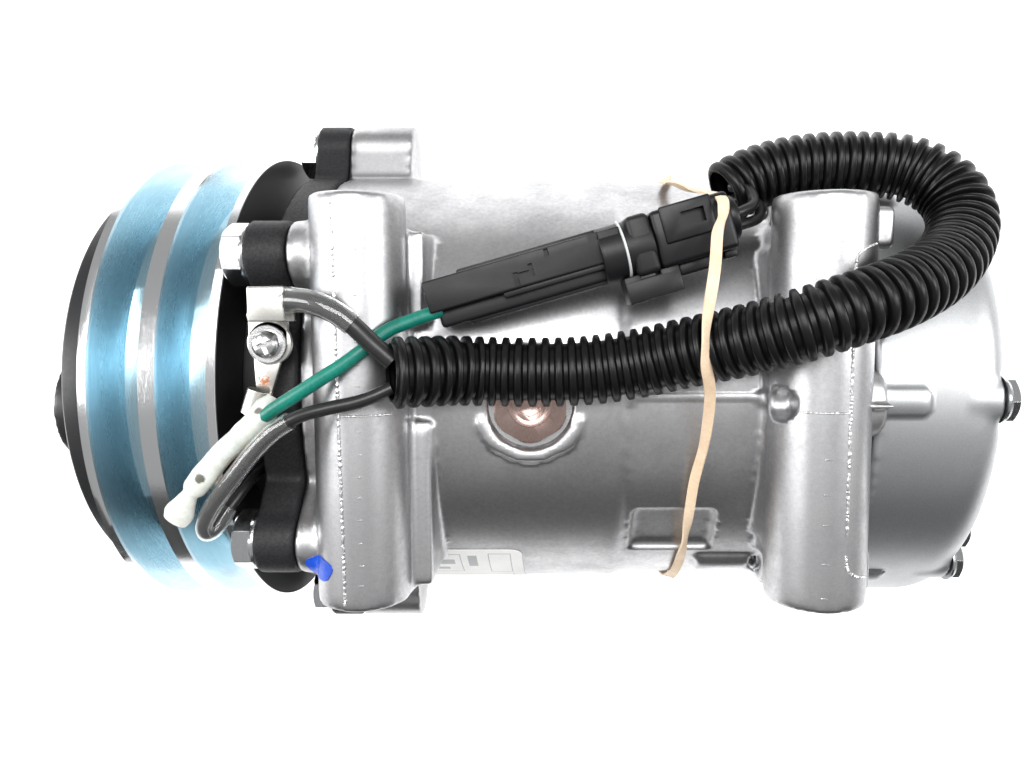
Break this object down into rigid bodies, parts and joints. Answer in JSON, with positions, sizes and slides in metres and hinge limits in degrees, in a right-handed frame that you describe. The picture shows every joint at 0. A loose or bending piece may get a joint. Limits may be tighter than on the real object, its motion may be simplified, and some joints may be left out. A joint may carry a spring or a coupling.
{
  "type": "automotive ac compressor",
  "caption": "Piston compressor with an electromagnetic clutch pulley for two belts, cross-bolt mounting bars, rear ports and a corrugated wiring loom with a mated connector.",
  "frame": {"origin": "on the shaft axis, midway between the two belt grooves", "axes": "+X along the shaft from the clutch to the cylinder head; +Z towards the oil plug; the mounting bolts run along Y"},
  "size_m": [0.2403, 0.154, 0.1669],
  "materials": {
    "cast_aluminium": "speckled satin as cast",
    "head_aluminium": "satin as cast",
    "black_cast": "matt black paint",
    "zinc_steel": "blue zinc plating, turned",
    "bright_steel": "bright zinc plating",
    "ground_steel": "ground",
    "spring_steel": "rolled",
    "copper": "enamelled copper winding",
    "gear_steel": "hardened",
    "damper_rubber": "matt",
    "seal_rubber": "matt",
    "gasket": "coated steel",
    "plug_metal": "pinkish plating",
    "label_white": "blank label",
    "loom_black": "corrugated, slight sheen",
    "wire_black": "smooth",
    "wire_green": "smooth",
    "sleeve_white": "shrunk film",
    "connector_grey": "moulded",
    "connector_black": "moulded",
    "band_rubber": "natural rubber"
  },
  "bodies": {
    "casing": {"front_housing": "black_cast", "housing_bolts": "bright_steel", "housing_o_ring": "seal_rubber", "cylinder_block": "cast_aluminium", "cylinder_head": "head_aluminium", "head_bolts": "bright_steel", "valve_plate": "ground_steel", "valve_gaskets": "gasket", "reed_valves": "spring_steel", "oil_plug": "plug_metal", "label": "label_white", "bearing_inner_race": "ground_steel", "coil_shell": "black_cast", "coil_winding": "copper", "shaft_bearing": "ground_steel", "shaft_seal": "seal_rubber", "snap_rings": "spring_steel", "front_thrust_bearing": "ground_steel", "fixed_gear": "gear_steel", "pivot_ball": "ground_steel", "lead_bracket": "bright_steel", "bracket_screw": "bright_steel", "loom": "loom_black", "bracket_lead": "wire_black", "coil_lead": "wire_black", "signal_wire": "wire_green", "splice_sleeve": "sleeve_white", "connector_plug": "connector_grey", "connector_socket": "connector_black", "connector_tails": "wire_black", "rubber_band": "band_rubber"},
    "pulley_set": {"pulley": "zinc_steel", "pulley_rims": "zinc_steel", "bearing_outer_race": "ground_steel"},
    "ball_set": {"bearing_balls": "ground_steel"},
    "rotor": {"drive_shaft": "ground_steel", "clutch_hub": "black_cast", "hub_dampers": "damper_rubber", "shaft_nut": "bright_steel", "cam_rotor": "ground_steel", "rotor_thrust_bearing": "ground_steel"},
    "armature": {"armature_plate": "black_cast", "armature_rivets": "bright_steel"},
    "wobble": {"wobble_plate": "ground_steel", "planet_gear": "gear_steel"},
    "rod_1": {"rod_1": "ground_steel"},
    "piston_1": {"piston_1": "ground_steel"},
    "rod_2": {"rod_2": "ground_steel"},
    "piston_2": {"piston_2": "ground_steel"},
    "rod_3": {"rod_3": "ground_steel"},
    "piston_3": {"piston_3": "ground_steel"},
    "rod_4": {"rod_4": "ground_steel"},
    "piston_4": {"piston_4": "ground_steel"},
    "rod_5": {"rod_5": "ground_steel"},
    "piston_5": {"piston_5": "ground_steel"},
    "rod_6": {"rod_6": "ground_steel"},
    "piston_6": {"piston_6": "ground_steel"},
    "rod_7": {"rod_7": "ground_steel"},
    "piston_7": {"piston_7": "ground_steel"}
  },
  "joints": [
    {"name": "pulley_spin", "type": "hinge", "parent": "casing", "child": "pulley_set", "pos_m": [0, 0, 0], "axis": [1, 0, 0], "continuous": true},
    {"name": "ball_set_spin", "type": "hinge", "parent": "casing", "child": "ball_set", "pos_m": [0, 0, 0], "axis": [1, 0, 0], "continuous": true},
    {"name": "shaft_spin", "type": "hinge", "parent": "casing", "child": "rotor", "pos_m": [0, 0, 0], "axis": [1, 0, 0], "continuous": true},
    {"name": "armature_pull", "type": "slide", "parent": "rotor", "child": "armature", "axis": [1, 0, 0], "range_m": [0, 0.00045], "stiffness_N_per_m": 8000},
    {"name": "wobble_nutation", "type": "hinge", "parent": "rotor", "child": "wobble", "pos_m": [0.08, 0, 0], "axis": [0.9107, 0, -0.4131], "continuous": true},
    {"name": "rod_1_turn", "type": "hinge", "parent": "wobble", "child": "rod_1", "pos_m": [0.09481, -0.01727, 0.03266], "axis": [0.9107, 0, -0.4131], "continuous": true},
    {"name": "piston_1_turn", "type": "hinge", "parent": "rod_1", "child": "piston_1", "pos_m": [0.15281, -0.01727, 0.03266], "axis": [1, 0, 0], "continuous": true},
    {"name": "rod_2_turn", "type": "hinge", "parent": "wobble", "child": "rod_2", "pos_m": [0.08366, -0.0388, 0.00807], "axis": [0.9107, 0, -0.4131], "continuous": true},
    {"name": "piston_2_turn", "type": "hinge", "parent": "rod_2", "child": "piston_2", "pos_m": [0.14166, -0.0388, 0.00807], "axis": [1, 0, 0], "continuous": true},
    {"name": "rod_3_turn", "type": "hinge", "parent": "wobble", "child": "rod_3", "pos_m": [0.06975, -0.03112, -0.0226], "axis": [0.9107, 0, -0.4131], "continuous": true},
    {"name": "piston_3_turn", "type": "hinge", "parent": "rod_3", "child": "piston_3", "pos_m": [0.12775, -0.03112, -0.0226], "axis": [1, 0, 0], "continuous": true},
    {"name": "rod_4_turn", "type": "hinge", "parent": "wobble", "child": "rod_4", "pos_m": [0.06356, 0, -0.03625], "axis": [0.9107, 0, -0.4131], "continuous": true},
    {"name": "piston_4_turn", "type": "hinge", "parent": "rod_4", "child": "piston_4", "pos_m": [0.12156, 0, -0.03625], "axis": [1, 0, 0], "continuous": true},
    {"name": "rod_5_turn", "type": "hinge", "parent": "wobble", "child": "rod_5", "pos_m": [0.06975, 0.03112, -0.0226], "axis": [0.9107, 0, -0.4131], "continuous": true},
    {"name": "piston_5_turn", "type": "hinge", "parent": "rod_5", "child": "piston_5", "pos_m": [0.12775, 0.03112, -0.0226], "axis": [1, 0, 0], "continuous": true},
    {"name": "rod_6_turn", "type": "hinge", "parent": "wobble", "child": "rod_6", "pos_m": [0.08366, 0.0388, 0.00807], "axis": [0.9107, 0, -0.4131], "continuous": true},
    {"name": "piston_6_turn", "type": "hinge", "parent": "rod_6", "child": "piston_6", "pos_m": [0.14166, 0.0388, 0.00807], "axis": [1, 0, 0], "continuous": true},
    {"name": "rod_7_turn", "type": "hinge", "parent": "wobble", "child": "rod_7", "pos_m": [0.09481, 0.01727, 0.03266], "axis": [0.9107, 0, -0.4131], "continuous": true},
    {"name": "piston_7_turn", "type": "hinge", "parent": "rod_7", "child": "piston_7", "pos_m": [0.15281, 0.01727, 0.03266], "axis": [1, 0, 0], "continuous": true}
  ],
  "couplings": [
    {"joint": "ball_set_spin", "follows": "pulley_spin", "ratio": 0.5711},
    {"joint": "wobble_nutation", "follows": "shaft_spin", "ratio": -1},
    {"joint": "rod_1_turn", "follows": "shaft_spin", "ratio": 1},
    {"joint": "piston_1_turn", "follows": "shaft_spin", "ratio": 1},
    {"joint": "rod_2_turn", "follows": "shaft_spin", "ratio": 1},
    {"joint": "piston_2_turn", "follows": "shaft_spin", "ratio": 1},
    {"joint": "rod_3_turn", "follows": "shaft_spin", "ratio": 1},
    {"joint": "piston_3_turn", "follows": "shaft_spin", "ratio": 1},
    {"joint": "rod_4_turn", "follows": "shaft_spin", "ratio": 1},
    {"joint": "piston_4_turn", "follows": "shaft_spin", "ratio": 1},
    {"joint": "rod_5_turn", "follows": "shaft_spin", "ratio": 1},
    {"joint": "piston_5_turn", "follows": "shaft_spin", "ratio": 1},
    {"joint": "rod_6_turn", "follows": "shaft_spin", "ratio": 1},
    {"joint": "piston_6_turn", "follows": "shaft_spin", "ratio": 1},
    {"joint": "rod_7_turn", "follows": "shaft_spin", "ratio": 1},
    {"joint": "piston_7_turn", "follows": "shaft_spin", "ratio": 1}
  ]
}
